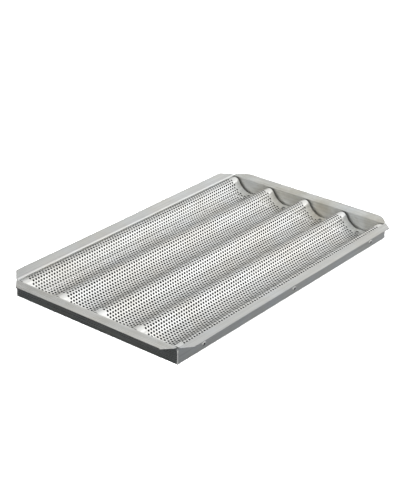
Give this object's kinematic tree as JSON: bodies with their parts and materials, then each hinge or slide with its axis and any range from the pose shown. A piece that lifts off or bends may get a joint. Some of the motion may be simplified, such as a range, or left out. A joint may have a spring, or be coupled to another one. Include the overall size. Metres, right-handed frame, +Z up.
{
  "type": "baguette tray",
  "caption": "Shallow flanged frame holding a perforated sheet formed into long parallel round-bottomed flutes that cradle loaves while they prove and bake.",
  "frame": {"origin": "on the surface that the tray rests on, under the middle of the tray", "axes": "+X along the flutes towards the back, +Y across them towards the left side, +Z up"},
  "size_m": [0.53, 0.325, 0.027],
  "materials": {
    "frame": "bare rolled aluminium, satin, with fine straight grain",
    "fluted_sheet": "bare perforated aluminium, bright satin",
    "weld": "dressed weld, brighter than the sheet",
    "rivet": "satin",
    "mandrel": "dull steel"
  },
  "bodies": {
    "root": {"front_rail": "frame", "back_rail": "frame", "left_rail": "frame", "right_rail": "frame", "perforated_sheet": "fluted_sheet", "corner_weld_front_right": "weld", "corner_weld_back_right": "weld", "corner_weld_back_left": "weld", "corner_weld_front_left": "weld", "flute_rivet_front_1": "rivet", "flute_rivet_front_2": "rivet", "flute_rivet_front_3": "rivet", "flute_rivet_front_4": "rivet", "flute_rivet_back_1": "rivet", "flute_rivet_back_2": "rivet", "flute_rivet_back_3": "rivet", "flute_rivet_back_4": "rivet", "side_rivet_right_1": "rivet", "side_rivet_right_2": "rivet", "side_rivet_right_3": "rivet", "side_rivet_left_1": "rivet", "side_rivet_left_2": "rivet", "side_rivet_left_3": "rivet", "side_mandrel_right_1": "mandrel", "side_mandrel_right_2": "mandrel", "side_mandrel_right_3": "mandrel", "side_mandrel_left_1": "mandrel", "side_mandrel_left_2": "mandrel", "side_mandrel_left_3": "mandrel"}
  },
  "joints": []
}
